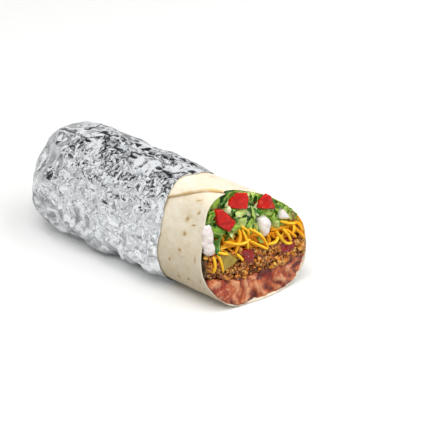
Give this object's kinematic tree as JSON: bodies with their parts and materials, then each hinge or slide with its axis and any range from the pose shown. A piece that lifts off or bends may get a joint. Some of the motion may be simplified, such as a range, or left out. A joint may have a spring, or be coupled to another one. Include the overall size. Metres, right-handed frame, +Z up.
{
  "type": "burrito",
  "caption": "Large burrito cut open at one end, with beans, beef, cheese and salad showing, its other end wrapped in crumpled foil.",
  "frame": {"origin": "middle of the underside, on the surface the burrito lies on", "axes": "+X along the roll from the foil-wrapped end to the open end, +Z up, +Y to the far side, where the open face is turned away from"},
  "size_m": [0.1834, 0.0814, 0.0772],
  "materials": {
    "foil": "crumpled household foil, bright and glossy",
    "tortilla": "soft flour tortilla, dry and matt, with small toasted spots",
    "beans": "moist mashed beans with a soft shine",
    "beef": "fried ground beef, moist crumbles",
    "cheese": "shredded cheddar, satin and slightly waxy",
    "lettuce": "crisp shredded lettuce, satin with wet highlights",
    "tomato": "wet diced tomato",
    "sour_cream": "smooth glossy cream",
    "green_chile": "wet pickled green chile",
    "red_sauce": "thick glossy chile sauce"
  },
  "bodies": {
    "root": {"foil": "foil", "tortilla": "tortilla", "beans": "beans", "beef": "beef", "cheese": "cheese", "lettuce": "lettuce", "tomato_1": "tomato", "tomato_2": "tomato", "tomato_3": "tomato", "sour_cream_1": "sour_cream", "sour_cream_2": "sour_cream", "sour_cream_3": "sour_cream", "green_chile": "green_chile", "red_sauce_1": "red_sauce", "red_sauce_2": "red_sauce"}
  },
  "joints": []
}
